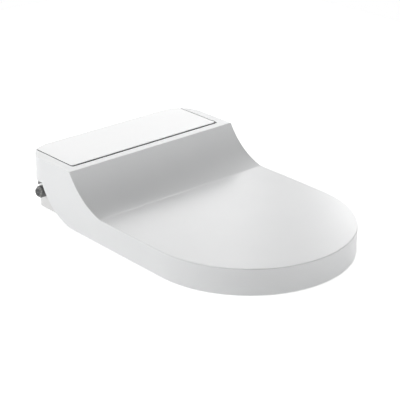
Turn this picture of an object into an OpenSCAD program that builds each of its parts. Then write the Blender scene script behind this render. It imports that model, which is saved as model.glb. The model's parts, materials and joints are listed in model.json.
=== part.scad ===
// Electric bidet seat: a closing lid and a heated ring on one hinge line, and a rear housing that
// holds the water path, the sliding wash arm, the dryer and the electrics.
// X runs across, -Y is the front, Z is up. The origin lies on the surface that the seat is bolted
// to, midway between its two fixing slots.

/* [Lid] */
// Overall width
lid_w = 360; // [350:1:380]
// Overall length, from the rear face to the front of the lid
lid_l = 547; // [535:1:570]
// Height of the level front of the lid
front_h = 46; // [44:0.5:50]
// Depth of the high rear deck
deck_d = 133; // [128:1:140]
// Height of the rear deck
deck_h = 105; // [103:0.5:110]
// Radius of the rear corners, seen from above
corner_r = 50; // [46:1:56]
// Wall of the lid
lid_wall = 3; // [2:0.25:3.5]
// Height of the skirt's lower edge over the mounting surface
lid_gap = 1; // [1:0.5:3]
// Radius of the concave sweep between deck and front
sweep_r = 121; // [116:1:126]
// Slope of the sweep where it meets the deck, in degrees
lip_slope = 60.6; // [56:0.2:64]
// Radius of the skirt's rear edge where it runs down to the bottom
tail_r = 101; // [92:1:106]
// Distance from the rear face to where that edge reaches the bottom
tail_d = 143; // [140:1:150]
// Radius of the lid's round ends about the hinge
arm_end_r = 34.5; // [34.25:0.25:36]

/* [Deck panel] */
// Width of the lid's rim at each side of the panel
rim_side = 18.9; // [17.5:0.1:22]
// Width of the lid's rim in front of the panel
rim_front = 16.6; // [14:0.1:20]
// Corner radius at the front of the panel
panel_r = 5; // [2:0.5:10]
// Groove between lid and panel
groove = 2; // [0.8:0.1:2.2]
// Thickness of the panel
panel_t = 3; // [2:0.25:3.5]

/* [Hinge] */
// Distance from the rear face to the hinge line
hinge_d = 43; // [42:0.5:44]
// Depth of the hinge line under the deck
hinge_drop = 10.5; // [10:0.25:11]
// Radius of the hinge shafts
shaft_r = 3.5; // [2.5:0.25:3.75]
// Radius of the hinge eyes
eye_r = 6.75; // [6:0.25:7]
// Width of each eye of the seat ring
seat_eye_w = 5; // [4:0.25:5.5]
// Radius of the soft-close dampers
damper_r = 6.5; // [5:0.25:6.75]
// Length of the soft-close dampers
damper_l = 46; // [36:1:50]

/* [Seat ring] */
// Height of the ring's underside
ring_z = 12; // [12:0.5:14]
// Height of the ring, from its underside to its top
ring_h = 26; // [24:0.5:27]
// Wall of the ring
ring_wall = 3; // [2:0.25:4]
// Width of the ring at each side of the opening
bar_side = 65.5; // [62:0.5:75]
// Width of the ring in front of the opening
bar_front = 58.5; // [55:0.5:80]
// Distance from the rear face to the opening
hole_d = 186; // [184:1:196]
// Distance from the rear face to the ring
ring_d = 160; // [158:0.5:162]
// Thickness of the ring's base plate
ring_plate_t = 2.5; // [2:0.25:3]
// Radius of the buffers
buffer_r = 8; // [6:0.5:10]

/* [Housing] */
// Wall of the casing
case_wall = 2.5; // [2:0.25:3]
// Height of the base tray's walls
tray_h = 34; // [33:0.5:34.5]
// Distance from the lid's side face to the base tray
tray_inset = 19; // [18.5:0.1:19.4]
// Radius of the tray's rear corners
tray_r = 18; // [18:1:42]
// Distance from the rear face to the tray's front
tray_d = 146; // [144:0.5:148]
// Distance from the rear face to the tray's back
tray_back = 3; // [2:0.25:3.5]
// Underside of the housing's flush corners
cheek_z = 46; // [45.5:0.25:48]
// Height of the step under which those corners stand back
step_z = 59; // [57:0.5:62]
// Depth of that step
step_in = 2; // [1:0.25:2.5]
// Radius of the arch that frees the water inlet from the corner
arch_r = 27; // [26:0.5:28]
// Distance from the rear face to the middle of that arch
arch_d = 48; // [46:0.5:50]
// Height of the tray over the mounting surface
foot_h = 1.5; // [1.5:0.25:2]
// Floor of the tray
floor_t = 2.5; // [2:0.25:3]
// Radius of the casing screws
screw_r = 2; // [1.5:0.25:2.25]

/* [Fixing] */
// Spacing of the fixing slots
fix_w = 155; // [140:1:165]
// Length of each fixing slot
slot_l = 32; // [24:1:40]
// Width of each fixing slot
slot_w = 8.4; // [6.4:0.2:10.4]
// Distance from the rear face to the fixing slots
fix_d = 92; // [88:1:96]
// Width of the mounting plate
plate_w = 220; // [210:1:230]
// Depth of the mounting plate
plate_d = 60; // [50:1:62]
// Thickness of the mounting plate
plate_t = 3; // [2.5:0.25:3.5]

/* [Water] */
// Radius of the male inlet thread (G1/2, or G3/8)
thread_r = 10.48; // [10.48, 8.33]
// Length of the inlet thread
thread_l = 10; // [8:0.5:11]
// Radius of the strainer's nose in front of the thread
nose_r = 7.7; // [7:0.1:7.8]
// Length of that nose
nose_out = 4; // [3:0.5:5]
// Distance from the rear face to the inlet
inlet_d = 32.3; // [30:0.5:36]
// Height of the inlet's centre
inlet_z = 35.4; // [34.2:0.1:36]
// Distance from the lid's side face to the inlet's end
inlet_in = 3; // [0:0.5:6]

/* [Wash arm] */
// Slope of the wash arm, in degrees
arm_slope = 25; // [23:0.5:26]
// Radius of the wash arm
arm_r = 7; // [5.5:0.25:7]
// Length of the wash arm
arm_l = 100; // [92:1:104]
// Distance from the rear face to the arm's tip when stored
arm_d = 126; // [122:1:128]
// Height of the stored tip
arm_tip_z = 13.5; // [13:0.25:14.5]
// Travel of the wash arm
arm_travel = 70; // [60:1:72]
// Teeth of the drive pinion
pinion_teeth = 14; // [12:1:16]
// Tooth module of the rack and the pinion
gear_m = 1; // [0.8:0.1:1]

/* [Hidden] */
$fn = 96;

run_gap = 0.05;          // running clearance of a shaft in its bore
seat_gap = 0.3;          // clearance between pieces that pass each other
skirt_in = 3.5;          // ring to the inside of the skirt
tail_gap = 1;            // skirt's rear edge to the housing's flush corner

r_front = lid_w/2;
front_cy = -lid_l + r_front;
sweep_cy = -deck_d - sweep_r*sin(lip_slope);
sweep_cz = deck_h + sweep_r*cos(lip_slope);
hinge_z = deck_h - hinge_drop;
tray_x = lid_w/2 - tray_inset;
inlet_end = lid_w/2 - inlet_in;
panel_x = lid_w/2 - rim_side;
panel_y = -deck_d + rim_front;
case_x = panel_x - groove/2 - 0.8;
case_d = -panel_y - groove/2 - 0.5;
case_top = deck_h - 2*panel_t;
case_back = 1.5;
ring_top = ring_z + ring_h;
hole_r = lid_w/2 - lid_wall - skirt_in - bar_side;
hole_l = lid_l - lid_wall - skirt_in - bar_front - hole_d;
liner_t = 2;
liner_back = deck_d + 82;
foil_t = 0.5;
side_pad_x = lid_w/2 - 40;
side_pad_d = 250;
front_pad_x = 45;
front_pad_d = 42;

// hinge line, from the centre outwards: damper, bearing, eye of the ring, ear of the lid
bearing_l = 9.5;
bearing_r = case_top - hinge_z;
damper_start = case_x - bearing_l - seat_gap - damper_l;
shaft_start = damper_start + 4;
shaft_end = lid_w/2 - lid_wall - 0.7;
seat_eye_x = panel_x + 0.2;
lid_ear_x = seat_eye_x + seat_eye_w + 0.5;

floor_z = foot_h + floor_t;
deck_z = plate_t + seat_gap + floor_t;      // raised floor over the mounting plate
head_h = 3;
head_r = 1.75*screw_r;
boss_r = head_r + 2.5;
boss_top = tray_h + 14;
screw_front = -tray_d + case_wall + boss_r - 0.5;
screw_back = -case_back - case_wall - boss_r + 0.5;
screw_side = tray_x - case_wall - boss_r - 6.5;
screw_mid = 21;
screw_points = [[-screw_side, screw_front], [screw_side, screw_front],
                [-screw_mid, screw_back], [screw_mid, screw_back]];
// pads at the front and at the back, from the middle
pad_r = 9;
pad_points = [[tray_x - 15, -tray_d + 34], [tray_x - 43, -tray_back - 21]];
// outside of the tray's pocket for the mounting plate
pocket_x = plate_w/2 + seat_gap + floor_t;
pocket_y = plate_d/2 + seat_gap + floor_t;

// boards, each on four posts
board_t = 1.6;
post_r = 3;
board_a = [24, -100, case_top - 13];
board_b = board_a + [76, 76, board_t];
power_a = [tray_x - 43, -100, floor_z + 5];
power_b = power_a + [33, 64, board_t];
gland_y = -48;
gland_z = 22;
gland_r = 7;
cable_r = 3.6;

button_y = -75;
button_a = [tray_x - 4, button_y - 9, 5];
button_b = [tray_x + 4, button_y + 9, 15];
latch_stroke = 4;
nose_x = plate_w/2 - 10;
nose_l = 4;
nose_w = 6;

bore_r = 5;
neck_r = 7.5;
strainer_r = 6.2;
strainer_in = 3;        // depth of the strainer's seat in the inlet
cap_t = 0.6;
face_x = -inlet_end + nose_out;
valve_x = tray_x - 13;
valve_a = [-valve_x, -inlet_d - 17, floor_z];
valve_b = [-valve_x + 34, -inlet_d + 15, inlet_z + 12];
coil_r = 11;
coil_h = 24;
hose_r = 4;
stub_l = 6;
regulator_l = 16;
heater_a = [valve_b[0] + regulator_l + stub_l, -50, floor_z];
heater_b = [heater_a[0] + 62, -16, 52];
divert_a = [heater_b[0] - 32, -34, heater_b[2]];
divert_b = divert_a + [28, 18, 24];
pump_x = heater_a[0] - 8;
pump_d = 69;
pump_r = 13;
pump_l = 20;
pump_motor_l = 36;
pump_z = deck_z + pump_r;
port_depth = 1.2;       // how far a hose sits in the pump head
riser_x = pump_x + 9;

// wash arm: u runs back along the arm from its stored tip, n stands square to it
guide_l = 72;
arm_tip_l = 16;
arm_flat = arm_r - 0.5;
rack_w = 4;
backlash = 0.3;
pitch_n = arm_flat + 3.5*gear_m;
pinion_u = arm_tip_l + 6;
pinion_n = pitch_n + gear_m*pinion_teeth/2;
pinion_y = -arm_d + pinion_u*cos(arm_slope) - pinion_n*sin(arm_slope);
pinion_z = arm_tip_z + pinion_u*sin(arm_slope) + pinion_n*cos(arm_slope);
pinion_shaft_r = 2;
port_top = arm_tip_z - (tray_d - case_wall - arm_d)*tan(arm_slope)
    + (pitch_n + gear_m)/cos(arm_slope) + seat_gap;
bracket_x = 7.8;
motor_x = 11;
feed_r = 2.5;
feed_bore_r = 2.8;
feed_w = 6;
feed_y = -arm_d + (arm_l + 6)*cos(arm_slope);
feed_z = arm_tip_z + (arm_l + 6)*sin(arm_slope);

filter_a = [pocket_x + 2.2, -132, floor_z];
filter_b = filter_a + [24, 28, 22];
filter_pitch = 3.6;
blower_x = 60;
blower_d = 34;
blower_r = 24;
blower_top = 30;
wheel_shaft_r = 2;
duct_x = 36;
duct_w = 20;
duct_t = 2;
duct_end = -fix_d + pocket_y + seat_gap;
grille_a = [duct_x, -tray_d, 8];
grille_b = [duct_x + duct_w, -tray_d + case_wall, blower_top];

// The four corners of a board, m in from its edges
function corners(a, b, m) = [for (x = [a[0] + m, b[0] - m], y = [a[1] + m, b[1] - m]) [x, y]];

// Everything is drawn from the rear face and then moved, so that the fixing line is at y = 0
module placed() translate([0, fix_d, 0]) children();

// Extrudes a side view, drawn in (y, z), across the width between x0 and x1
module across(x0, x1) translate([x0, 0, 0]) rotate([90, 0, 90]) linear_extrude(x1 - x0) children();

// A box by two corners
module span(a, b) translate(a) cube([b[0] - a[0], b[1] - a[1], b[2] - a[2]]);

// A rod along X
module rod_x(x0, x1, y, z, r) translate([x0, y, z]) rotate([0, 90, 0]) cylinder(r = r, h = x1 - x0);

// The same piece at both sides, or at the side s
module mirrored() {
    children();
    mirror([1, 0, 0]) children();
}
module sided(s) {
    if (s > 0) children();
    else mirror([1, 0, 0]) children();
}

// A rod along Z
module rod_z(x, y, z0, z1, r) translate([x, y, z0]) cylinder(r = r, h = z1 - z0);

// Outline of the lid seen from above, drawn in by i
module lid_plan(i) {
    r = r_front - i;
    translate([0, front_cy]) circle(r);
    translate([-r, front_cy]) square([2*r, -front_cy - corner_r]);
    for (s = [-1, 1]) translate([s*(r_front - corner_r), -corner_r]) circle(corner_r - i);
    translate([-r_front + corner_r, -corner_r - 1]) square([2*(r_front - corner_r), corner_r + 1 - i]);
}

// Side view of the lid: level front, concave sweep, level deck, drawn in by i
module lid_side(i, low) difference() {
    polygon([[-lid_l - 5, low], [5, low], [5, deck_h - i], [-deck_d, deck_h - i],
             [-deck_d, deck_h + 20], [sweep_cy, deck_h + 20], [sweep_cy, front_h - i],
             [-lid_l - 5, front_h - i]]);
    intersection() {
        translate([sweep_cy, sweep_cz]) circle(sweep_r + i);
        translate([-lid_l - 5, front_h - i]) square([lid_l, deck_h]);
    }
}

// Side view of what lies behind the skirt's rear edge, g away from it. Over the lid's round end
// it stays under a slope, so that the rim runs on to the rear corner.
module below_tail(g) {
    knee = [-hinge_d + 5, hinge_z - arm_end_r + 5];
    difference() {
        polygon([[-tail_d, -20], [20, -20], [20, knee[1] + 20 - knee[0]], knee, [-tail_d, knee[1]]]);
        translate([-tail_d, lid_gap + tail_r]) circle(tail_r + g);
        translate([-hinge_d, hinge_z]) circle(arm_end_r + g);
    }
}

// Opening of the lid round the deck panel, larger than the panel by g
module panel_plan(g) {
    x = panel_x - groove/2 + g;
    y = panel_y + groove/2 - g;
    translate([-x, y + panel_r]) square([2*x, -y - panel_r + 5]);
    translate([-x + panel_r, y]) square([2*(x - panel_r), panel_r + 1]);
    for (s = [-1, 1]) translate([s*(x - panel_r), y + panel_r]) circle(panel_r);
}

// The lid's outer form, drawn in by i and open downwards from low
module lid_form(i, low) intersection() {
    translate([0, 0, -30]) linear_extrude(deck_h + 60) lid_plan(i);
    across(-lid_w, lid_w) lid_side(i, low);
}

// ---- lid ----
module lid_shell() color("white") placed() {
    difference() {
        lid_form(0, lid_gap);
        difference() {
            lid_form(lid_wall, -20);
            mirrored() rod_x(lid_ear_x, lid_w/2 - 1, -hinge_d, hinge_z, eye_r);
        }
        across(-lid_w, lid_w) below_tail(0);
        translate([0, 0, deck_h - 40]) linear_extrude(60) panel_plan(groove);
        mirrored() rod_x(lid_ear_x - 1, shaft_end + seat_gap, -hinge_d, hinge_z, shaft_r + run_gap);
    }
}

module lid_liner() color("whitesmoke") placed()
    translate([0, 0, front_h - lid_wall - liner_t]) linear_extrude(liner_t) intersection() {
        lid_plan(lid_wall + 6);
        translate([-lid_w, -lid_l]) square([2*lid_w, lid_l - liner_back]);
    }

module lid_buffers() color("gainsboro") placed()
    mirrored() for (p = [[side_pad_x, -side_pad_d - 60], [front_pad_x, -lid_l + front_pad_d]])
        rod_z(p[0], p[1], ring_top + seat_gap, front_h - lid_wall - liner_t, buffer_r);

// ---- seat ring ----
// Opening of the ring, grown by g
module hole_plan(g) {
    y = [-hole_d - hole_r, -hole_d - hole_l + hole_r];
    for (c = y) translate([0, c]) circle(hole_r + g);
    translate([-hole_r - g, y[1]]) square([2*(hole_r + g), y[0] - y[1]]);
}

// The ring's outline, drawn in by i
module ring_plan(i) difference() {
    intersection() {
        lid_plan(lid_wall + skirt_in + i);
        translate([-lid_w, -2*lid_l]) square([2*lid_w, 2*lid_l - ring_d - i]);
    }
    hole_plan(i);
}

// Side view of a hinge arm, from the hinge line down to the ring
module arm_side() {
    foot = ring_z + ring_plate_t + seat_gap;
    translate([-hinge_d, hinge_z]) circle(eye_r);
    polygon([[-hinge_d, hinge_z + eye_r - 0.2], [-case_d + 3, deck_h - 9.5], [-ring_d + 12, ring_top + 27],
             [-ring_d - 22, ring_top], [-ring_d - 22, foot], [-ring_d - 3, foot],
             [-ring_d + 8, ring_top - 2], [-ring_d + 32, ring_top + 23], [-ring_d + 62, hinge_z - 12],
             [-hinge_d, hinge_z - eye_r + 0.2]]);
}

module seat_ring_top() color("white") placed() difference() {
    union() {
        difference() {
            translate([0, 0, ring_z]) linear_extrude(ring_h) ring_plan(0);
            translate([0, 0, ring_z - 1]) linear_extrude(ring_h - ring_wall + 1) ring_plan(ring_wall);
        }
        mirrored() across(seat_eye_x, seat_eye_x + seat_eye_w) arm_side();
    }
    mirrored() rod_x(seat_eye_x - 1, seat_eye_x + seat_eye_w + 1, -hinge_d, hinge_z,
                     shaft_r + run_gap);
}

module seat_ring_base() color("white") placed()
    translate([0, 0, ring_z]) linear_extrude(ring_plate_t) ring_plan(ring_wall + seat_gap);

module seat_heating_foil() color("goldenrod") placed()
    translate([0, 0, ring_top - ring_wall - foil_t]) linear_extrude(foil_t) difference() {
        intersection() {
            lid_plan(lid_wall + skirt_in + ring_wall + 8);
            translate([-lid_w, -2*lid_l]) square([2*lid_w, 2*lid_l - hole_d - 20]);
        }
        hole_plan(ring_wall + 8);
    }

module seat_buffers() color("gainsboro") placed()
    mirrored() for (p = [[side_pad_x, -side_pad_d], [front_pad_x, -lid_l + front_pad_d]])
        rod_z(p[0], p[1], 0, ring_z, buffer_r);

// ---- hinges ----
module hinge_shaft(s) color("silver") placed()
    sided(s) rod_x(shaft_start, shaft_end, -hinge_d, hinge_z, shaft_r);
module hinge_shaft_left() hinge_shaft(-1);
module hinge_shaft_right() hinge_shaft(1);

module damper(s) color("dimgray") placed() sided(s) difference() {
    rod_x(damper_start, damper_start + damper_l, -hinge_d, hinge_z, damper_r);
    rod_x(shaft_start - seat_gap, shaft_start + damper_l, -hinge_d, hinge_z, shaft_r + run_gap);
}
module seat_damper() damper(-1);
module lid_damper() damper(1);

// ---- housing ----
// Side view of the casing, drawn in by i
module case_side(i) polygon([[-tray_d + i, tray_h - 1], [-tray_d + i, 60], [-case_d + i, case_top - 5 - i/2],
    [-case_d + i, case_top - i], [5, case_top - i], [5, tray_h - 1]]);

// Casing between the hinge arms, drawn in by i
module case_core(i, low) intersection() {
    translate([0, 0, low]) linear_extrude(case_top - low) intersection() {
        lid_plan(case_back + i);
        translate([-case_x + i, -tray_d]) square([2*(case_x - i), tray_d]);
    }
    across(-lid_w, lid_w) case_side(i);
}

// Flush rear corner under the lid's round end, drawn in by i
module cheek(i) difference() {
    intersection() {
        union() {
            translate([0, 0, step_z + i]) linear_extrude(deck_h) lid_plan(i);
            translate([0, 0, cheek_z - (i > 0 ? 1 : 0)]) linear_extrude(deck_h) lid_plan(step_in + i);
        }
        across(-lid_w, lid_w) below_tail(tail_gap + i);
        across(case_x - (i > 0 ? 0 : 1), lid_w/2) translate([-tray_d, 0]) square([tray_d, deck_h]);
    }
    rod_x(0, lid_w/2, -arch_d, inlet_z, arch_r + i);
}

module upper_casing() color("white") placed() difference() {
    union() {
        difference() {
            case_core(0, tray_h);
            case_core(case_wall, tray_h - 1);
        }
        mirrored() cheek(0);
        // bearings of the hinge shafts
        mirrored() rod_x(case_x - bearing_l, case_x - 1, -hinge_d, hinge_z, bearing_r);
        // posts of the control board and seats of the casing screws
        for (p = corners(board_a, board_b, 4)) rod_z(p[0], p[1], board_b[2], case_top - 1, post_r);
        for (p = screw_points) rod_z(p[0], p[1], tray_h, boss_top, boss_r);
    }
    mirrored() cheek(case_wall);
    mirrored() rod_x(shaft_start, lid_w/2, -hinge_d, hinge_z, shaft_r + run_gap);
    // the dampers rise through the roof under the deck panel
    mirrored() span([damper_start - 2, -hinge_d - damper_r - 1, case_top - case_wall - 1],
                    [damper_start + damper_l, -hinge_d + damper_r + 1, case_top + 1]);
    for (p = screw_points) rod_z(p[0], p[1], tray_h - 1, boss_top - 2, screw_r + run_gap);
    inlet_hole();
}

module deck_panel() color("white") placed() difference() {
    translate([0, 0, case_top]) linear_extrude(deck_h - case_top) panel_outline(0);
    translate([0, 0, case_top - 1]) linear_extrude(deck_h - case_top + 1 - panel_t) panel_outline(3);
}
module panel_outline(i) intersection() {
    lid_plan(i);
    panel_plan(-i);
}

// Outline of the base tray, drawn in by i
module tray_plan(i) {
    for (s = [-1, 1]) translate([s*(tray_x - tray_r), -tray_back - tray_r]) circle(tray_r - i);
    translate([-tray_x + tray_r, -tray_back - tray_r - 1])
        square([2*(tray_x - tray_r), tray_r + 1 - i]);
    translate([-tray_x + i, -tray_d + i])
        square([2*(tray_x - i), tray_d - i - tray_back - tray_r]);
}

module base_tray() color("white") placed() difference() {
    union() {
        difference() {
            translate([0, 0, foot_h]) linear_extrude(tray_h - foot_h) tray_plan(0);
            translate([0, 0, floor_z]) linear_extrude(tray_h) tray_plan(case_wall);
        }
        span([-pocket_x, -fix_d - pocket_y, foot_h + 0.5], [pocket_x, -fix_d + pocket_y, deck_z]);
        for (p = screw_points) rod_z(p[0], p[1], floor_z - 1, tray_h, boss_r);
        for (p = corners(power_a, power_b, 4)) rod_z(p[0], p[1], floor_z - 1, power_a[2], post_r);
    }
    // pocket of the mounting plate, open downwards, with room over the bolt heads
    span([-plate_w/2 - seat_gap, -fix_d - plate_d/2 - seat_gap, -1],
         [plate_w/2 + seat_gap, -fix_d + plate_d/2 + seat_gap, plate_t + seat_gap]);
    for (s = [-1, 1]) span([s*fix_w/2 - slot_l/2 - 5, -fix_d - 10, -1],
                           [s*fix_w/2 + slot_l/2 + 5, -fix_d + 10, deck_z + 1]);
    // port of the wash arm
    span([-arm_r - 3, -tray_d - 1, -1], [arm_r + 3, -arm_d + 1, port_top]);
    for (p = screw_points) {
        rod_z(p[0], p[1], 0, tray_h + 1, screw_r + run_gap);
        rod_z(p[0], p[1], 0, foot_h + head_h, head_r + seat_gap);
    }
    span(grille_a - [seat_gap, 2, seat_gap], grille_b + [seat_gap, 2, seat_gap]);
    span(button_a - [2, seat_gap, seat_gap], button_b + [2, seat_gap, seat_gap]);
    span([nose_x - latch_stroke - 0.5, button_y - nose_w/2 - 0.5, -1],
         [nose_x + nose_l + 0.5, button_y + nose_w/2 + 0.5, deck_z + 1]);
    rod_x(tray_x - case_wall - 1, tray_x + 1, gland_y, gland_z, gland_r + run_gap);
    inlet_hole();
}
module inlet_hole() rod_x(-lid_w/2, -case_x + 8, -inlet_d, inlet_z, thread_r + seat_gap);

module base_pads() color("gray") placed()
    mirrored() for (p = pad_points) rod_z(p[0], p[1], 0, foot_h, pad_r);

module casing_screws() color("silver") placed() for (p = screw_points) {
    rod_z(p[0], p[1], foot_h + head_h - 1, boss_top - 3, screw_r);
    rod_z(p[0], p[1], foot_h + head_h - 2.4, foot_h + head_h, head_r);
}

module mounting_plate() color("dimgray") placed() difference() {
    span([-plate_w/2, -fix_d - plate_d/2, 0], [plate_w/2, -fix_d + plate_d/2, plate_t]);
    for (s = [-1, 1]) translate([s*fix_w/2, -fix_d, -1]) {
        for (e = [-1, 1]) translate([e*(slot_l - slot_w)/2, 0]) cylinder(r = slot_w/2, h = plate_t + 2);
        translate([-(slot_l - slot_w)/2, -slot_w/2]) cube([slot_l - slot_w, slot_w, plate_t + 2]);
    }
    // the latch drops in here, and leaves to the front once it is pushed in
    span([nose_x - latch_stroke - 0.5, button_y - nose_w/2 - 0.5, -1],
         [nose_x + nose_l + 0.5, button_y + nose_w/2 + 0.5, plate_t + 1]);
    span([nose_x - latch_stroke - 0.5, -fix_d - plate_d/2 - 1, -1],
         [nose_x + nose_l - latch_stroke + 0.3, button_y, plate_t + 1]);
}

module release_button() color("gainsboro") placed() span(button_a, button_b);

module release_latch() color("dimgray") placed() {
    span([nose_x, button_y - nose_w/2, deck_z + seat_gap],
         [button_a[0], button_y + nose_w/2, power_a[2] - 0.4]);
    span([nose_x, button_y - nose_w/2, 0.6], [nose_x + nose_l, button_y + nose_w/2, deck_z + 1]);
}

// ---- water path ----
module water_inlet() color("gray") placed() difference() {
    union() {
        rod_x(face_x, face_x + thread_l, -inlet_d, inlet_z, thread_r);
        rod_x(face_x + thread_l, -valve_x, -inlet_d, inlet_z, neck_r);
    }
    rod_x(face_x - 1, -valve_x + 1, -inlet_d, inlet_z, bore_r);
    rod_x(face_x - 1, face_x + strainer_in, -inlet_d, inlet_z, strainer_r + run_gap);
}

module inlet_collar() color("lightgray") placed() difference() {
    rod_x(-inlet_end + cap_t, face_x, -inlet_d, inlet_z, nose_r);
    rod_x(-inlet_end, face_x + 1, -inlet_d, inlet_z, strainer_r + run_gap);
}

module inlet_strainer() color("dimgray") placed() difference() {
    union() {
        rod_x(-inlet_end, -inlet_end + cap_t, -inlet_d, inlet_z, nose_r);
        rod_x(-inlet_end, face_x + strainer_in, -inlet_d, inlet_z, strainer_r);
    }
    rod_x(-inlet_end + 2*cap_t, -valve_x, -inlet_d, inlet_z, strainer_r - 1);
    for (a = [0:60:300]) rod_x(-inlet_end - 1, -valve_x, -inlet_d + strainer_r*0.6*cos(a),
                               inlet_z + strainer_r*0.6*sin(a), 1.2);
}

module solenoid_valve() color("whitesmoke") placed() difference() {
    union() {
        span(valve_a, valve_b);
        rod_z((valve_a[0] + valve_b[0])/2, -inlet_d, valve_b[2] - 1, valve_b[2] + coil_h, coil_r);
    }
    rod_x(valve_a[0] - 1, valve_b[0] + 1, -inlet_d, inlet_z, bore_r);
}

module flow_regulator() color("lightblue") placed() difference() {
    rod_x(valve_b[0], heater_a[0] - stub_l, -inlet_d, inlet_z, bore_r + 3);
    rod_x(valve_b[0] - 1, heater_a[0], -inlet_d, inlet_z, bore_r);
}

// A hose along its corner points
module hose(points, r) for (i = [0:len(points) - 2]) {
    d = points[i + 1] - points[i];
    translate(points[i]) rotate([0, acos(d[2]/norm(d)), atan2(d[1], d[0])]) cylinder(r = r, h = norm(d));
    if (i > 0) translate(points[i]) sphere(r);
}

module hose_inlet() color("white", 0.8) placed()
    hose([[heater_a[0] - stub_l, -inlet_d, inlet_z], [heater_a[0], -inlet_d, inlet_z]], hose_r);

module water_heater() color("beige") placed() {
    span(heater_a, heater_b);
    for (x = [heater_a[0] + 8, heater_b[0] - 8])
        rod_z(x, heater_a[1] + 7, heater_b[2] - 1, heater_b[2] + 5, hose_r);
}

module hose_heater() color("white", 0.8) placed()
    hose([[pump_x + 13, heater_a[1], pump_z],
          [pump_x + 13, -pump_d + pump_r - port_depth, pump_z]], hose_r);

module pump_head() color("dimgray") placed() difference() {
    union() {
        rod_x(pump_x, pump_x + pump_l, -pump_d, pump_z, pump_r);
        span([pump_x, -pump_d - 9, deck_z], [pump_x + pump_l, -pump_d + 9, pump_z]);
    }
    // flats for its two hoses
    span([pump_x + 2, -pump_d + pump_r - port_depth, pump_z - 7],
         [pump_x + pump_l - 2, -pump_d + pump_r + 5, pump_z + 7]);
    span([pump_x + 2, -pump_d - 7, pump_z + pump_r - port_depth],
         [pump_x + pump_l - 2, -pump_d + 7, pump_z + pump_r + 5]);
}

module pump_motor() color("silver") placed()
    rod_x(pump_x + pump_l, pump_x + pump_l + pump_motor_l, -pump_d, pump_z, pump_r - 1);

module hose_pump() color("white", 0.8) placed()
    hose([[riser_x, -pump_d, pump_z + pump_r - port_depth], [riser_x, -pump_d, feed_z + 8],
          [divert_a[0] + 14, -pump_d, feed_z + 8], [divert_a[0] + 14, divert_a[1], feed_z + 8]], hose_r);

module diverter_valve() color("ivory") placed() {
    span(divert_a, divert_b);
    rod_z(divert_a[0] + 12, divert_a[1] + 18, divert_b[2] - 1, divert_b[2] + 10, 8);
}

module hose_arm() color("white", 0.8) placed()
    hose([[divert_b[0], feed_y, feed_z], [-feed_w, feed_y, feed_z]], 3);

// ---- wash arm ----
// Places children in the arm's own frame: X across, Y back along the arm from its stored tip, Z up
module arm_frame() translate([0, -arm_d, arm_tip_z]) rotate([arm_slope, 0, 0]) children();

// A rod along the arm
module rod_u(u0, u1, r) translate([0, u0, 0]) rotate([-90, 0, 0]) cylinder(r = r, h = u1 - u0);

module arm_guide() color("lightgray") placed() difference() {
    union() {
        arm_frame() rod_u(2, guide_l, arm_r + 2.8);
        // foot on the tray's raised floor, and the motor's bracket
        intersection() {
            span([-9, -arm_d + 8, deck_z], [9, -fix_d + plate_d/2, 60]);
            arm_frame() translate([-10, -20, -60]) cube([20, 120, 60]);
        }
        span([bracket_x, pinion_y - 12, deck_z], [motor_x, pinion_y + 12, pinion_z + 12]);
    }
    arm_frame() {
        rod_u(-20, guide_l + 1, arm_r + 0.35);
        translate([-rack_w/2 - 0.6, -20, 3]) cube([rack_w + 1.2, 140, 30]);
        translate([-5, pinion_u - 11, arm_r + 1]) cube([10, 22, 30]);
    }
    rod_x(-3, motor_x + 1, pinion_y, pinion_z, pinion_shaft_r + 0.3);
    span([-20, -tray_d, -40], [20, 0, deck_z]);
}

module spray_arm() color("white") placed() arm_frame() difference() {
    rod_u(arm_tip_l, arm_l, arm_r);
    translate([-rack_w/2 - 0.1, arm_tip_l - 1, arm_flat]) cube([rack_w + 0.2, arm_l, 5]);
    rod_u(arm_tip_l + 4, arm_l + 1, feed_bore_r);
}

module nozzle_tip() color("whitesmoke") placed() arm_frame() difference() {
    union() {
        rod_u(arm_r, arm_tip_l, arm_r);
        translate([0, arm_r, 0]) sphere(arm_r);
    }
    // spray holes in the top
    for (u = [arm_r - 1.5, arm_r + 2.5]) translate([0, u, 2]) cylinder(r = 0.9, h = 10);
}

module drive_rack() color("gainsboro") placed() arm_frame() {
    first = pinion_u - PI*gear_m*(floor((pinion_u - arm_tip_l)/(PI*gear_m)) - 0.5);
    teeth = floor((pinion_u + arm_travel + 4 - first)/(PI*gear_m)) + 1;
    translate([rack_w/2, 0, 0]) rotate([0, -90, 0]) linear_extrude(rack_w) {
        translate([arm_flat, arm_tip_l]) square([pitch_n - gear_m*1.1 - arm_flat, arm_l - arm_tip_l]);
        for (k = [0:teeth - 1]) translate([pitch_n, first + k*PI*gear_m]) rack_tooth();
    }
}
// One tooth of the rack, drawn with its height along X
module rack_tooth() {
    h = PI*gear_m/4 - backlash/2;
    polygon([[-gear_m*1.15, -h - gear_m*1.15*tan(20)], [gear_m*0.8, -h + gear_m*0.8*tan(20)],
             [gear_m*0.8, h - gear_m*0.8*tan(20)], [-gear_m*1.15, h + gear_m*1.15*tan(20)]]);
}

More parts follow.
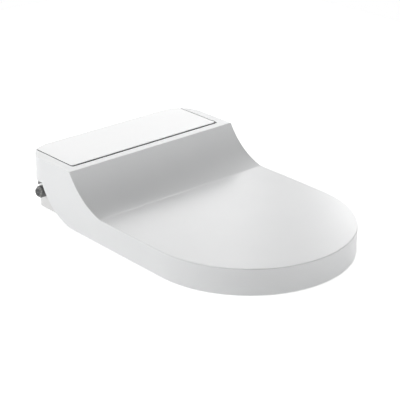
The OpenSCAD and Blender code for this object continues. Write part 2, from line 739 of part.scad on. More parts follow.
// Flank point of an involute on base radius rb, unrolled by t degrees
function involute(rb, t) = rb*[cos(t) + t*PI/180*sin(t), sin(t) - t*PI/180*cos(t)];
function turn(p, a) = [p[0]*cos(a) - p[1]*sin(a), p[0]*sin(a) + p[1]*cos(a)];
module pinion_plan() {
    rp = gear_m*pinion_teeth/2;
    rb = rp*cos(20);
    ra = rp + 0.8*gear_m;
    unroll = sqrt(ra*ra/rb/rb - 1)*180/PI;
    half = 90/pinion_teeth - backlash/2/rp*180/PI + (tan(20)*180/PI - 20);
    flank = [for (t = [0:unroll/5:unroll + 0.01]) turn(involute(rb, t), -half)];
    other = [for (i = [len(flank) - 1:-1:0]) [flank[i][0], -flank[i][1]]];
    foot = rp - 1.2*gear_m;
    circle(foot);
    for (k = [0:pinion_teeth - 1]) rotate(k*360/pinion_teeth)
        polygon(concat([turn([foot - 0.5, 0], -half)], flank, other, [turn([foot - 0.5, 0], half)]));
}

module drive_pinion() color("gainsboro") placed() {
    translate([-rack_w/2, pinion_y, pinion_z]) rotate([90, 0, 90]) linear_extrude(rack_w)
        rotate(arm_slope - 90) pinion_plan();
    rod_x(rack_w/2 - 0.5, motor_x + 4, pinion_y, pinion_z, pinion_shaft_r);
}

module arm_motor() color("silver") placed() difference() {
    rod_x(motor_x, motor_x + 18, pinion_y, pinion_z, 12);
    rod_x(motor_x - 1, motor_x + 5, pinion_y, pinion_z, pinion_shaft_r + run_gap);
}

module feed_tube() color("lightgray") placed() {
    arm_frame() {
        rod_u(arm_l - arm_travel - 6, arm_l + 2, feed_r);
        translate([-feed_w, arm_l + 1.5, -feed_w]) cube([2*feed_w, 9, 2*feed_w]);
    }
    span([-4, feed_y - 1, floor_z], [4, feed_y + 6, feed_z - 5]);
}

// ---- dryer and air ----
module blower_housing() color("ivory") placed() difference() {
    union() {
        rod_z(blower_x, -blower_d, floor_z, blower_top, blower_r);
        span([duct_x, duct_end + seat_gap, floor_z + duct_t], [duct_x + duct_w, -blower_d, blower_top]);
    }
    rod_z(blower_x, -blower_d, floor_z + duct_t, blower_top - duct_t, blower_r - duct_t);
    span([duct_x + duct_t, -fix_d, floor_z + 2*duct_t],
         [duct_x + duct_w - duct_t, -blower_d - 6, blower_top - duct_t]);
    rod_z(blower_x, -blower_d, blower_top - duct_t - 1, blower_top + 1, wheel_shaft_r + 0.6);
}

module blower_wheel() color("dimgray") placed() translate([blower_x, -blower_d, floor_z + 4]) {
    cylinder(r = blower_r - 5, h = 1.5);
    cylinder(r = 4, h = 12);
    cylinder(r = wheel_shaft_r, h = blower_top - floor_z + 2);
    for (a = [0:20:340]) rotate(a) translate([blower_r - 9, -0.6, 1]) cube([3.5, 1.2, 15]);
}

module blower_motor() color("silver") placed() difference() {
    rod_z(blower_x, -blower_d, blower_top, blower_top + 18, 12);
    rod_z(blower_x, -blower_d, blower_top - 1, blower_top + 6.5, wheel_shaft_r + run_gap);
}

module dryer_duct() color("ivory") placed() {
    y0 = grille_b[1] + seat_gap;
    low = deck_z + seat_gap;
    difference() {
        span([duct_x, y0, low], [duct_x + duct_w, duct_end, blower_top]);
        span([duct_x + duct_t, y0 - 1, low + duct_t], [duct_x + duct_w - duct_t, 0, blower_top - duct_t]);
    }
}

module dryer_grille() color("gainsboro") placed() difference() {
    span(grille_a, grille_b);
    for (k = [0:4]) span([grille_a[0] + 2, grille_a[1] - 1, grille_a[2] + 2 + 3.6*k],
                         [grille_b[0] - 2, grille_b[1] + 1, grille_a[2] + 4 + 3.6*k]);
}

module odour_filter() color("darkslategray") placed() difference() {
    span(filter_a, filter_b);
    for (x = [filter_a[0] + 2:filter_pitch:filter_b[0] - 2 - filter_pitch/2])
        span([x, filter_a[1] - 1, filter_a[2] + 3], [x + filter_pitch/2, filter_b[1] + 1, filter_b[2] - 3]);
}

// ---- electrics ----
module control_board() color("darkgreen") placed() span(board_a, board_b);

module board_parts() color("dimgray") placed() translate(board_a) {
    span([18, 8, -5], [38, 24, 0]);
    span([48, 10, -12], [68, 22, 0]);
    span([16, 40, -3], [28, 52, 0]);
    for (y = [38, 50, 62]) rod_z(54, y, -12, 0, 4);
}

module power_board() color("darkgreen") placed() span(power_a, power_b);

module transformer() color("goldenrod") placed()
    translate([power_a[0] + 4, power_a[1] + 4, power_b[2]]) cube([25, 22, 24]);

module cable_gland() color("dimgray") placed() difference() {
    union() {
        rod_x(tray_x - case_wall - 4, tray_x, gland_y, gland_z, gland_r);
        rod_x(tray_x, tray_x + 8, gland_y, gland_z, gland_r + 1.5);
    }
    rod_x(tray_x - 10, tray_x + 10, gland_y, gland_z, cable_r);
}

lid_shell();
lid_liner();
lid_buffers();
seat_ring_top();
seat_ring_base();
seat_heating_foil();
seat_buffers();
hinge_shaft_left();
hinge_shaft_right();
seat_damper();
lid_damper();
upper_casing();
deck_panel();
base_tray();
base_pads();
casing_screws();
mounting_plate();
release_button();
release_latch();
water_inlet();
inlet_collar();
inlet_strainer();
solenoid_valve();
flow_regulator();
water_heater();
pump_head();
pump_motor();
diverter_valve();
hose_inlet();
hose_heater();
hose_pump();
hose_arm();
arm_guide();
spray_arm();
nozzle_tip();
feed_tube();
drive_rack();
drive_pinion();
arm_motor();
blower_housing();
blower_wheel();
blower_motor();
dryer_duct();
dryer_grille();
odour_filter();
control_board();
board_parts();
power_board();
transformer();
cable_gland();
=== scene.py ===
import json
import math

import bmesh
import bpy
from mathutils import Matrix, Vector


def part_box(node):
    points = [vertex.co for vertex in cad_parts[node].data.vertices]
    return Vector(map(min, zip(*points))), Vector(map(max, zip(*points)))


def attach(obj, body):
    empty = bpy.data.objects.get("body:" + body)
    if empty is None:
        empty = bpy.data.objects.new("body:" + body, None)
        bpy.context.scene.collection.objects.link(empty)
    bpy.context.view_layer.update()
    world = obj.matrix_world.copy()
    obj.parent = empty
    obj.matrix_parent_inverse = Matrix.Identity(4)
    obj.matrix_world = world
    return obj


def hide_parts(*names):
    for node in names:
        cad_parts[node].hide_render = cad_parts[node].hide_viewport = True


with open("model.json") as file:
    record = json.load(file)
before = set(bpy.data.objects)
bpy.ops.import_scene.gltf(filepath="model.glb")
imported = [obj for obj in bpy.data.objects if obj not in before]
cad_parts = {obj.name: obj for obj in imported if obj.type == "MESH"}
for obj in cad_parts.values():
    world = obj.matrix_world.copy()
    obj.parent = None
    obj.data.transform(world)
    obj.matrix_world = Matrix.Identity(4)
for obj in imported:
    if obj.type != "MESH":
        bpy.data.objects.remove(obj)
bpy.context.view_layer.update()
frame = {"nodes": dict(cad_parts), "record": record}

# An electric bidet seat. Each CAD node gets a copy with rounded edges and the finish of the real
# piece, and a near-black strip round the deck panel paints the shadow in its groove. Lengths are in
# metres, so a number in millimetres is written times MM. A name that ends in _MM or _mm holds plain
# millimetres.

MM = 0.001


def direction(azimuth, elevation):
    """The unit vector towards a place. Azimuth 0 is straight in front, and 90 is on the +X side."""
    azimuth, elevation = math.radians(azimuth), math.radians(elevation)
    return Vector((
        math.sin(azimuth) * math.cos(elevation),
        -math.cos(azimuth) * math.cos(elevation),
        math.sin(elevation),
    ))


def aim(thing, target, away, distance):
    """Puts a camera or a lamp in the scene, at distance from target, and turns it to face it."""
    bpy.context.scene.collection.objects.link(thing)
    thing.location = target + away * distance
    thing.rotation_mode = "QUATERNION"
    thing.rotation_quaternion = (-away).to_track_quat("-Z", "Y")


# ---- camera ----
CAMERA_AZIMUTH = -41.149
CAMERA_ELEVATION = 23.529
CAMERA_DISTANCE = 2155.773 * MM
CAMERA_TARGET = Vector((-15.914, -179.466, 53.637)) * MM
CAMERA_LENS_MM = 116.954
CAMERA_SENSOR_MM = 36
NEAREST_SEEN = 50 * MM
FARTHEST_SEEN = 50


def add_camera():
    data = bpy.data.cameras.new("camera")
    data.sensor_width = CAMERA_SENSOR_MM
    data.lens = CAMERA_LENS_MM
    data.clip_start = NEAREST_SEEN
    data.clip_end = FARTHEST_SEEN
    camera = bpy.data.objects.new("camera", data)
    aim(camera, CAMERA_TARGET, direction(CAMERA_AZIMUTH, CAMERA_ELEVATION), CAMERA_DISTANCE)
    bpy.context.scene.camera = camera


add_camera()
bpy.context.scene.view_settings.view_transform = "Standard"

# ---- materials ----
CLOUD_MM = 60           # the size of the clouds in which a colour drifts
SHEEN_DRIFT = 0.12      # how far the grain moves the roughness, as a share of it


def linear(hex_colour):
    """An sRGB hex colour as the linear RGBA that the shader's sockets take."""
    values = [int(hex_colour[i:i + 2], 16) / 255 for i in (1, 3, 5)]
    return [v / 12.92 if v <= 0.04045 else ((v + 0.055) / 1.055) ** 2.4 for v in values] + [1]


def add_node(tree, kind, settings=None, **inputs):
    """Adds one shader node. An input is a value or another node's output socket."""
    made = tree.nodes.new(kind)
    for key, value in (settings or {}).items():
        setattr(made, key, value)
    for key, value in inputs.items():
        socket = made.inputs[key.replace("_", " ")]
        if isinstance(value, bpy.types.NodeSocket):
            tree.links.new(value, socket)
        else:
            socket.default_value = value
    return made


def empty_material(name):
    material = bpy.data.materials.new(name)
    material.use_nodes = True
    material.node_tree.nodes.clear()
    return material, material.node_tree


def moulded(name, colour, tint, roughness, grain_mm, grain_height_mm, ior=1.5, metallic=0.0):
    """A moulded or turned surface. Over a piece, its colour drifts a little towards tint.

    Its skin has a fine grain, grain_mm wide and grain_height_mm deep, which also moves the gloss.
    """
    material, tree = empty_material(name)
    place = add_node(tree, "ShaderNodeTexCoord").outputs["Object"]
    drift = add_node(
        tree, "ShaderNodeTexNoise", Vector=place, Scale=1 / (CLOUD_MM * MM), Detail=2.0,
    )
    grain = add_node(
        tree, "ShaderNodeTexNoise", Vector=place, Scale=1 / (grain_mm * MM), Detail=3.0,
    )
    # a Mix node takes its colours in sockets 6 and 7, and gives their mix in socket 2
    colours = add_node(tree, "ShaderNodeMix", {"data_type": "RGBA"})
    colours.inputs[6].default_value = linear(colour)
    colours.inputs[7].default_value = linear(tint)
    tree.links.new(drift.outputs["Fac"], colours.inputs[0])
    sheen = add_node(
        tree, "ShaderNodeMapRange", Value=grain.outputs["Fac"],
        To_Min=roughness * (1 - SHEEN_DRIFT), To_Max=roughness * (1 + SHEEN_DRIFT),
    )
    bump = add_node(
        tree, "ShaderNodeBump", Height=grain.outputs["Fac"], Distance=grain_height_mm * MM,
    )
    shader = add_node(
        tree, "ShaderNodeBsdfPrincipled", Base_Color=colours.outputs[2],
        Roughness=sheen.outputs["Result"], Normal=bump.outputs["Normal"], IOR=ior,
        Metallic=metallic,
    )
    output = add_node(tree, "ShaderNodeOutputMaterial")
    tree.links.new(shader.outputs["BSDF"], output.inputs["Surface"])
    return material


# Each finish has its colour, its tint, its roughness, and the width and height of its grain in mm.
# The grain of a textured mould, of felt and of ground steel is finer in truth, and is drawn as
# coarse as it needs to be to show.
FINISHES = {
    # duroplast, pressed and polished: hard white gloss with a faint orange peel
    "polished_duroplast": moulded("polished_duroplast", "#F4F5F5", "#F1F2F3", 0.30, 1.6, 0.004),
    # cast acrylic of the deck panel: the whitest and smoothest face
    "cast_acrylic": moulded("cast_acrylic", "#FAFAFA", "#F8F9F9", 0.24, 2.0, 0.002, ior=1.49),
    # ABS from a textured mould: satin white with a fine grain
    "satin_abs": moulded("satin_abs", "#ECECEB", "#E6E6E6", 0.5, 0.5, 0.012),
    # thermoplastic rubber of pads and buffers: light grey and matt
    "moulded_rubber": moulded("moulded_rubber", "#B9B9B6", "#B0B0AE", 0.75, 0.6, 0.02),
    # painted shade: a near-black, matt strip that stands for the shadow in the groove round the
    # deck panel
    "painted_groove_shade": moulded("painted_groove_shade", "#2A2A2B", "#303031", 0.8, 0.5, 0.02),
    # extruded silicone of the hoses: milky and a little glossy
    "silicone_hose": moulded("silicone_hose", "#D9D9D5", "#CFCFCB", 0.45, 0.9, 0.008),
    # turned and ground steel of shafts, screws and motor cans: a narrow metal highlight
    "ground_steel": moulded("ground_steel", "#B4B6B8", "#A9ABAE", 0.32, 0.3, 0.003, metallic=1.0),
    # glass-filled nylon: charcoal, dulled by its fibres
    "charcoal_nylon": moulded("charcoal_nylon", "#2B2C2E", "#333437", 0.55, 0.4, 0.015),
    # glass-filled nylon of the mounting plate: mid grey with a satin skin
    "grey_nylon": moulded("grey_nylon", "#8C8E90", "#808285", 0.5, 0.4, 0.012),
    # turned acetal of the water inlet: smooth grey with a soft highlight
    "grey_acetal": moulded("grey_acetal", "#7C7C7C", "#707070", 0.42, 0.5, 0.008),
    # moulded nylon of the strainer's cap: a shade darker and duller than the inlet
    "strainer_nylon": moulded("strainer_nylon", "#5E5F60", "#575859", 0.5, 0.4, 0.01),
    # undyed acetal of guide, rack and pinion: milky white and waxy
    "natural_acetal": moulded("natural_acetal", "#E3E3E0", "#DADAD6", 0.4, 0.5, 0.006),
    # undyed nylon of valves and ducts: yellower and duller than acetal
    "ivory_nylon": moulded("ivory_nylon", "#E0DBC8", "#D6D0BC", 0.5, 0.5, 0.01),
    # dyed acetal of the flow regulator: the blue of water fittings
    "blue_acetal": moulded("blue_acetal", "#6F93B8", "#6488AE", 0.4, 0.5, 0.006),
    # etched brass foil of the seat's heater: a warm metal sheen
    "etched_foil": moulded("etched_foil", "#C59A55", "#B98D48", 0.35, 0.4, 0.004, metallic=1.0),
    # pressed felt loaded with carbon: black, rough and quite without gloss
    "carbon_felt": moulded("carbon_felt", "#1E2323", "#2A3030", 0.95, 0.8, 0.08),
    # screened solder mask of the boards: a dark green lacquer, with the weave under it
    "solder_mask": moulded("solder_mask", "#14492B", "#185534", 0.35, 0.8, 0.01),
    # wound enamelled copper of the transformer: glossy amber, uneven from the wire
    "enamelled_wire": moulded("enamelled_wire", "#B98A2E", "#A97B24", 0.35, 0.5, 0.03),
}

SLOT_FINISH = {
    "gloss_white": "polished_duroplast",
    "satin_white": "satin_abs",
    "soft_grey": "moulded_rubber",
    "steel": "ground_steel",
    "dark_plastic": "charcoal_nylon",
    "plate_grey": "grey_nylon",
    "inlet_grey": "grey_acetal",
    "light_plastic": "natural_acetal",
    "ivory_plastic": "ivory_nylon",
    "blue_plastic": "blue_acetal",
    "hose_rubber": "silicone_hose",
    "foil": "etched_foil",
    "filter_dark": "carbon_felt",
    "board_green": "solder_mask",
    "winding": "enamelled_wire",
}
# nodes that differ from the others of their slot
NODE_FINISH = {"inlet_strainer": "strainer_nylon", "deck_panel": "cast_acrylic"}

RECORD = frame["record"]
SLOT_OF = {part["node"]: part["material_slot"] for part in RECORD["subparts"]}
BODY_OF = {node: body for body, nodes in RECORD["behaviour"]["bodies"].items() for node in nodes}

# ---- copies of the nodes ----
WELD = 0.002 * MM                   # points nearer than this become one
FLAT_TURN = math.radians(0.3)       # faces that turn by less become one
WEIGHED_TURN = math.radians(25)     # edges that turn by more can have a radius of their own
ROUNDED_TURN = math.radians(30)     # edges that turn by more are rounded alike
EDGE_MM = 0.3
EDGE_SEGMENTS = 2

# how far apart two heights may be and still count as one
FORM_SLACK = 0.6 * MM               # in the lid's form, which is drawn a little small
CAD_SLACK = 0.1 * MM                # in a CAD piece
LEVEL_SLACK = 0.01 * MM             # in one level face


def near(value, goal, slack):
    return abs(value - goal) < slack


def points_in(items):
    return [item for item in items if isinstance(item, bmesh.types.BMVert)]


def pull(work, faces, offset, keep):
    """Extrudes faces by offset. With keep, they also stay behind, and close the far side."""
    pulled = bmesh.ops.extrude_face_region(work, geom=faces, use_keep_orig=keep)
    bmesh.ops.translate(work, vec=offset, verts=points_in(pulled["geom"]))


def finish_of(node):
    return FINISHES[NODE_FINISH.get(node, SLOT_FINISH[SLOT_OF[node]])]


def merged_mesh(node):
    """A copy of a CAD node's mesh with its points joined and its flat faces whole."""
    mesh = frame["nodes"][node].data.copy()
    mesh.materials.clear()
    mesh.materials.append(finish_of(node))
    work = bmesh.new()
    work.from_mesh(mesh)
    bmesh.ops.remove_doubles(work, verts=work.verts, dist=WELD)
    bmesh.ops.dissolve_limit(work, angle_limit=FLAT_TURN, verts=work.verts, edges=work.edges)
    return mesh, work


def stand_in(node, mesh, work):
    """Ends the work on a node's copy and lets it stand for the node."""
    for face in work.faces:
        face.smooth = True
    work.to_mesh(mesh)
    work.free()
    piece = bpy.data.objects.new(node + "_finished", mesh)
    bpy.context.scene.collection.objects.link(piece)
    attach(piece, BODY_OF[node])
    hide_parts(node)
    return piece


def new_object(name, work):
    """Ends the work on a mesh that stands for no node, and puts it in the scene."""
    mesh = bpy.data.meshes.new(name)
    work.to_mesh(mesh)
    work.free()
    made = bpy.data.objects.new(name, mesh)
    bpy.context.scene.collection.objects.link(made)
    return made


def round_edges(piece, edge_mm, segments, method, clamp=False):
    """Rounds edges with a modifier. Unclamped, a finely divided arc doesn't hold the width back."""
    bevel = piece.modifiers.new("rounded_edges", "BEVEL")
    bevel.width = edge_mm * MM
    bevel.segments = segments
    bevel.limit_method = method
    bevel.angle_limit = ROUNDED_TURN
    bevel.harden_normals = True
    bevel.use_clamp_overlap = clamp


def flatten_faces(piece):
    """Gives the shading of large flat faces to their own corners, so that they look flat."""
    flat = piece.modifiers.new("flat_faces_flat", "WEIGHTED_NORMAL")
    flat.keep_sharp = True


def weigh_edges(work, radius_of, widest_mm):
    """Writes each hard edge's own radius, which radius_of gives in mm, as a share of the widest."""
    weight = work.edges.layers.float.new("bevel_weight_edge")
    for edge in work.edges:
        if len(edge.link_faces) == 2 and edge.calc_face_angle(0) > WEIGHED_TURN:
            edge[weight] = radius_of(edge) / widest_mm


def apply_modifiers(piece):
    depsgraph = bpy.context.evaluated_depsgraph_get()
    mesh = bpy.data.meshes.new_from_object(piece.evaluated_get(depsgraph), depsgraph=depsgraph)
    piece.modifiers.clear()
    piece.data = mesh


def keep_inside(piece, tool):
    """Keeps what piece and tool share, and drops the tool."""
    shared = piece.modifiers.new("shared", "BOOLEAN")
    shared.operation = "INTERSECT"
    shared.solver = "EXACT"
    shared.object = tool
    apply_modifiers(piece)
    bpy.data.objects.remove(tool)


# ---- the lid ----
LID_W = 360 * MM
SKIRT_Z = 1 * MM
FLAT_Z = 46 * MM                    # the level front
DECK_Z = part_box("deck_panel")[1][2]
SWEEP_R = 121 * MM
SWEEP_CENTRE = Vector((0, -146.42, 164.4)) * MM
SWEEP_STEPS = 24
FOOT_BLEND = 2.5 * MM               # how far the soft crease at the sweep's foot reaches
FOOT_STEPS = 12
FRONT_CENTRE_Y = -275 * MM
FRONT_STEPS = 144
REAR_CENTRE = Vector((130, 42, 0)) * MM
REAR_R = 50 * MM
REAR_STEPS = 64
FORM_INSET = 0.2 * MM               # the finished form lies this far inside the drawn one
FORM_WELD = 0.01 * MM
FORM_FLAT_TURN = math.radians(0.5)
FORM_FRONT_Y = -600 * MM            # the side prism runs past the lid, in front and behind
FORM_REAR_Y = 200 * MM
FORM_H = 400 * MM                   # and so does the plan prism, above and below

# the radii of the form's edges
LID_WIDEST_MM = 4
LID_SEGMENTS = 6
SKIRT_EDGE_MM = 0.6
DECK_EDGE_MM = 0.35
SWEEP_EDGE_MM = 0.4
FLAT_EDGE_MM = 1.6
WIDENS_FROM_Y = -95 * MM            # here the sweep's edge starts to widen to the level front's,
WIDENS_OVER = 40 * MM               # which it reaches this much further forward
UPRIGHT_H = 20 * MM                 # an edge that climbs by more is an upright
SHARP_TURN = math.radians(32)       # edges that turn by more break the lid's shading


def lid_side_prism():
    """The side view of the lid, closed below, run across its whole width and more."""
    low = SKIRT_Z + FORM_INSET
    top = DECK_Z - FORM_INSET
    level = FLAT_Z - FORM_INSET
    radius = SWEEP_R + FORM_INSET
    lip_drop = SWEEP_CENTRE.z - top
    foot_drop = SWEEP_CENTRE.z - level
    lip = SWEEP_CENTRE + Vector((0, math.sqrt(radius ** 2 - lip_drop ** 2), -lip_drop))
    turn = math.acos(lip_drop / radius) - math.acos(foot_drop / radius)
    work = bmesh.new()
    first = work.verts.new(lip)
    arc = bmesh.ops.spin(
        work, geom=[first], cent=SWEEP_CENTRE, axis=(1, 0, 0), angle=-turn, steps=SWEEP_STEPS,
        use_duplicate=False,
    )
    foot = points_in(arc["geom_last"])[0]
    corners = (
        (FORM_FRONT_Y, level), (FORM_FRONT_Y, low), (FORM_REAR_Y, low), (FORM_REAR_Y, top),
    )
    outline = [foot] + [work.verts.new((0, y, z)) for y, z in corners]
    for a, b in zip(outline, outline[1:] + [first]):
        work.edges.new((a, b))
    bmesh.ops.bevel(
        work, geom=[foot], offset=FOOT_BLEND, offset_type="OFFSET", segments=FOOT_STEPS,
        profile=0.5, affect="VERTICES", material=-1,
    )
    bmesh.ops.contextual_create(work, geom=list(work.edges))
    bmesh.ops.translate(work, vec=(-LID_W, 0, 0), verts=work.verts)
    pull(work, list(work.faces), (2 * LID_W, 0, 0), keep=True)
    bmesh.ops.recalc_face_normals(work, faces=work.faces)
    return new_object("lid_side_prism", work)


def lid_plan_prism():
    """The lid seen from above, a round front and two rear corners, as one upright prism."""
    work = bmesh.new()
    for place, drawn_radius, steps in (
        (Vector((0, FRONT_CENTRE_Y, 0)), LID_W / 2, FRONT_STEPS),
        (REAR_CENTRE, REAR_R, REAR_STEPS),
        (Vector((-REAR_CENTRE.x, REAR_CENTRE.y, 0)), REAR_R, REAR_STEPS),
    ):
        radius = drawn_radius - FORM_INSET
        disk = bmesh.ops.create_cone(
            work, segments=steps, radius1=radius, radius2=radius, depth=FORM_H, cap_ends=True,
        )
        bmesh.ops.translate(work, vec=place, verts=disk["verts"])
    hull = bmesh.ops.convex_hull(work, input=work.verts, use_existing_faces=False)
    inside = hull["geom_interior"] + hull["geom_unused"]
    bmesh.ops.delete(work, geom=inside, context="VERTS")
    bmesh.ops.dissolve_limit(work, angle_limit=FORM_FLAT_TURN, verts=work.verts, edges=work.edges)
    bmesh.ops.recalc_face_normals(work, faces=work.faces)
    return new_object("lid_plan_prism", work)


def lid_radius(edge):
    """The radius of one edge of the lid's form, in mm: widest round the level front.

    It is finer on the sweep and the deck, and the uprights stay sharp.
    """
    a, b = (vert.co for vert in edge.verts)
    middle = (a + b) / 2
    if near(a.z, SKIRT_Z, FORM_SLACK) and near(b.z, SKIRT_Z, FORM_SLACK):
        return SKIRT_EDGE_MM
    if near(middle.z, DECK_Z, FORM_SLACK):
        return DECK_EDGE_MM
    if abs(a.z - b.z) > UPRIGHT_H:
        return 0
    share = min(1, max(0, (WIDENS_FROM_Y - middle.y) / WIDENS_OVER))
    return SWEEP_EDGE_MM + share * (FLAT_EDGE_MM - SWEEP_EDGE_MM)


def lid_form():
    """The lid's outer form with its edges rounded."""
    form = lid_side_prism()
    keep_inside(form, lid_plan_prism())
    work = bmesh.new()
    work.from_mesh(form.data)
    bmesh.ops.remove_doubles(work, verts=work.verts, dist=FORM_WELD)
    weigh_edges(work, lid_radius, LID_WIDEST_MM)
    work.to_mesh(form.data)
    work.free()
    round_edges(form, LID_WIDEST_MM, LID_SEGMENTS, "WEIGHT")
    apply_modifiers(form)
    return form


def add_lid():
    """The lid shell, with the outside of its rounded form and its own inside and opening."""
    form = lid_form()
    piece = stand_in("lid_shell", *merged_mesh("lid_shell"))
    keep_inside(piece, form)
    piece.data.materials.clear()
    piece.data.materials.append(finish_of("lid_shell"))
    for face in piece.data.polygons:
        face.use_smooth = True
    piece.data.set_sharp_from_angle(angle=SHARP_TURN)
    flatten_faces(piece)


add_lid()

# ---- the deck panel and a strip of painted shade round it ----
# a near-black strip on a step round the panel paints the shadow in the groove between panel and lid
SHADE_STRIP_IN = 0.5 * MM                # how far the near-black strip of painted shade reaches over the panel's sides, and how much further over its front
SHADE_STRIP_FRONT_IN = 2.6 * MM          # and how much further over its front
SHADE_STRIP_H = 2.0 * MM
SHADE_STRIP_SUNK = 0.5 * MM              # how far the strip's top lies below the panel's
PANEL_R = 5 * MM                    # the panel's front corners
PANEL_EDGE_MM = 0.25
PANEL_FRONT_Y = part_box("deck_panel")[0][1]
ROUNDED_FRONT_Y = PANEL_FRONT_Y + PANEL_R + SHADE_STRIP_IN + 1 * MM     # just behind those corners
REAR_EDGE_Y = REAR_CENTRE.y - 10 * MM       # behind this the panel has no step
EMPTY_AREA = 1e-9                   # in square metres: a face of the ring that was drawn shut
PLACE_DIGITS = 7


def place_of(face):
    """A face's middle, by which it is found again in a copy of its mesh."""
    return tuple(round(value, PLACE_DIGITS) for value in face.calc_center_median())


def level_ring(work, z, inset):
    """Draws a flat top face in by inset. Returns the ring round it, and the face that is left."""
    top = [
        face for face in work.faces
        if all(near(vert.co.z, z, LEVEL_SLACK) for vert in face.verts)
    ]
    ring = bmesh.ops.inset_region(
        work, faces=top, thickness=inset, use_even_offset=True, use_boundary=True,
    )["faces"]
    return ring, [face for face in top if face.is_valid]


def add_panel_and_shade_strip():
    """Steps the panel's edge down along its front and sides, and lays a near-black strip on the
    step: painted shade for the groove round the panel.
    """
    mesh, work = merged_mesh("deck_panel")
    step = DECK_Z - SHADE_STRIP_H - SHADE_STRIP_SUNK
    for vert in work.verts:
        if near(vert.co.z, DECK_Z, LEVEL_SLACK):
            vert.co.z = step
    outline = [vert.co.copy() for vert in work.verts if near(vert.co.z, step, LEVEL_SLACK)]
    ring, middle = level_ring(work, step, SHADE_STRIP_IN)
    for vert in {vert for face in middle for vert in face.verts}:
        if vert.co.y < ROUNDED_FRONT_Y:
            vert.co.y += SHADE_STRIP_FRONT_IN
        elif vert.co.y > REAR_EDGE_Y:
            vert.co = min(outline, key=lambda place: (place - vert.co).length)

    strip = work.copy()
    ring_places = {place_of(face) for face in ring}
    others = [
        face for face in strip.faces
        if place_of(face) not in ring_places or face.calc_area() < EMPTY_AREA
    ]
    bmesh.ops.delete(strip, geom=others, context="FACES")
    pull(strip, list(strip.faces), (0, 0, SHADE_STRIP_H), keep=True)
    bmesh.ops.remove_doubles(strip, verts=strip.verts, dist=WELD)
    bmesh.ops.recalc_face_normals(strip, faces=strip.faces)

    pull(work, middle, (0, 0, SHADE_STRIP_H + SHADE_STRIP_SUNK), keep=False)
    bmesh.ops.remove_doubles(work, verts=work.verts, dist=WELD)
    bmesh.ops.dissolve_degenerate(work, edges=work.edges, dist=WELD)
    bmesh.ops.recalc_face_normals(work, faces=work.faces)

    panel = stand_in("deck_panel", mesh, work)
    round_edges(panel, PANEL_EDGE_MM, EDGE_SEGMENTS, "ANGLE")
    flatten_faces(panel)
    # the near-black strip of painted shade: it stands for the shadow in the groove round the panel
    shade_strip = new_object("painted_groove_shade_strip", strip)
    shade_strip.data.materials.append(FINISHES["painted_groove_shade"])
    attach(shade_strip, BODY_OF["deck_panel"])


add_panel_and_shade_strip()

# ---- the seat ring ----
RING_LOW_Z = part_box("seat_ring_top")[0][2]
RING_TOP_Z = 38 * MM
RING_SEGMENTS = 5
SITTING_EDGE_MM = 6
RING_LOW_EDGE_MM = 0.6
ARMS_Y = -113 * MM                  # behind this and further out than ARMS_X, the hinge arms rise
ARMS_X = 150 * MM


def ring_radius(edge):
    """The radius of one edge of the ring, in mm: wide round the sitting face and its opening.

    The lower outline is fine, and all else stays sharp, also where the hinge arms rise.
    """
    a, b = (vert.co for vert in edge.verts)
    if near(a.z, RING_TOP_Z, CAD_SLACK) and near(b.z, RING_TOP_Z, CAD_SLACK):
        at_arms = max(a.y, b.y) > ARMS_Y and max(abs(a.x), abs(b.x)) > ARMS_X
        return 0 if at_arms else SITTING_EDGE_MM
    if near(a.z, RING_LOW_Z, CAD_SLACK) and near(b.z, RING_LOW_Z, CAD_SLACK):
        return RING_LOW_EDGE_MM
    return 0


def add_ring():
    mesh, work = merged_mesh("seat_ring_top")
    weigh_edges(work, ring_radius, SITTING_EDGE_MM)
    piece = stand_in("seat_ring_top", mesh, work)
    round_edges(piece, SITTING_EDGE_MM, RING_SEGMENTS, "WEIGHT")
    flatten_faces(piece)


add_ring()

# ---- the rest of the nodes ----
SHAPED = ("lid_shell", "deck_panel", "seat_ring_top")
FINE_RIMS = ("inlet_collar", "inlet_strainer")      # finely divided circles, seen from outside
RIM_SEGMENTS = 3

for node in frame["nodes"]:
    if node in SHAPED:
        continue
    plain = stand_in(node, *merged_mesh(node))
    if node in FINE_RIMS:
        round_edges(plain, EDGE_MM, RIM_SEGMENTS, "ANGLE")
    else:
        round_edges(plain, EDGE_MM, EDGE_SEGMENTS, "ANGLE", clamp=True)
    flatten_faces(plain)

# ---- studio ----
FLOOR_SIZE = 2.4
FLOOR_WHITE = 0.75      # what the floor adds to its lit paint, to be as white as the backdrop
LAMP_AIM = Vector((0, -200, 30)) * MM
LAMPS = (
    # name, azimuth and elevation in degrees, width in metres, power in watts, distance in metres
    # above and behind: the level front, the sweep and the deck
    ("rear_high_box", 180, 55, 1.8, 8, 3.0),
    ("rear_right_box", 150, 30, 1.5, 21, 3.0),
    ("rear_right_low_box", 120, 13, 0.8, 30, 3.0),
    ("rear_right_near_box", 120, 35, 0.6, 1.25, 1.0),
    # on the left: the long side of the skirts
    ("left_box", -120, 12, 1.5, 40, 3.0),
    ("left_low_box", -66, 4, 1.2, 14, 3.0),
    ("left_near_box", -90, 20, 0.5, 0.9, 1.0),
    # low in front and on the right: the round front of the skirts
    ("front_low_box", 0, 4, 1.2, 28, 3.0),
    ("front_right_low_box", 22, 4, 1.2, 12, 3.0),
    ("right_low_box", 68, 4, 1.2, 17, 3.0),
)


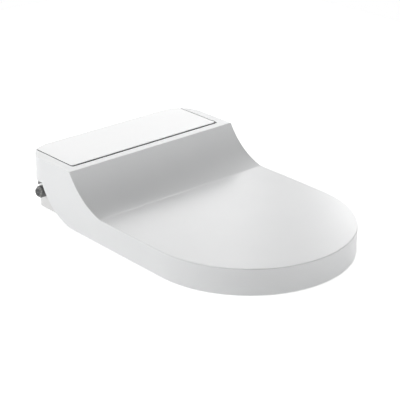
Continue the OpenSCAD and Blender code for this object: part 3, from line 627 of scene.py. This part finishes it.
def seen_directly(tree):
    """1 for a ray from the camera, or one seen in gloss or through something clear; otherwise 0."""
    path = add_node(tree, "ShaderNodeLightPath")
    either = path.outputs["Is Camera Ray"]
    for ray in ("Is Glossy Ray", "Is Transmission Ray"):
        larger = add_node(tree, "ShaderNodeMath", {"operation": "MAXIMUM"})
        tree.links.new(either, larger.inputs[0])
        tree.links.new(path.outputs[ray], larger.inputs[1])
        either = larger.outputs[0]
    return either


def choose(tree, factor, first, second, output_kind):
    """Ends a shader tree with first where factor is 0 and second where it is 1."""
    mix = add_node(tree, "ShaderNodeMixShader", Fac=factor)
    tree.links.new(first.outputs[0], mix.inputs[1])
    tree.links.new(second.outputs[0], mix.inputs[2])
    tree.links.new(mix.outputs[0], add_node(tree, output_kind).inputs["Surface"])


def add_floor():
    """A pale painted floor, white where it is seen, save for the object's shadow."""
    bpy.ops.mesh.primitive_plane_add(size=FLOOR_SIZE, location=(0, 0, 0))
    floor = bpy.context.object
    floor.name = "floor"
    material, tree = empty_material("studio_floor")
    paint = add_node(tree, "ShaderNodeBsdfDiffuse", Color=linear("#F2F2F2"))
    white = add_node(tree, "ShaderNodeEmission", Color=(1, 1, 1, 1), Strength=FLOOR_WHITE)
    both = add_node(tree, "ShaderNodeAddShader")
    tree.links.new(paint.outputs[0], both.inputs[0])
    tree.links.new(white.outputs[0], both.inputs[1])
    choose(tree, seen_directly(tree), paint, both, "ShaderNodeOutputMaterial")
    floor.data.materials.append(material)


def add_world():
    """White where it is seen. It lights nothing, which is left to the lamps."""
    world = bpy.data.worlds.new("studio")
    world.use_nodes = True
    tree = world.node_tree
    tree.nodes.clear()
    dark = add_node(tree, "ShaderNodeBackground", Color=(1, 1, 1, 1), Strength=0.0)
    white = add_node(tree, "ShaderNodeBackground", Color=(1, 1, 1, 1), Strength=1.0)
    choose(tree, seen_directly(tree), dark, white, "ShaderNodeOutputWorld")
    bpy.context.scene.world = world


def add_lamp(name, azimuth, elevation, width, power, distance):
    """A square soft box."""
    data = bpy.data.lights.new(name, "AREA")
    data.size = width
    data.energy = power
    lamp = bpy.data.objects.new(name, data)
    aim(lamp, LAMP_AIM, direction(azimuth, elevation), distance)


add_floor()
add_world()
for lamp in LAMPS:
    add_lamp(*lamp)
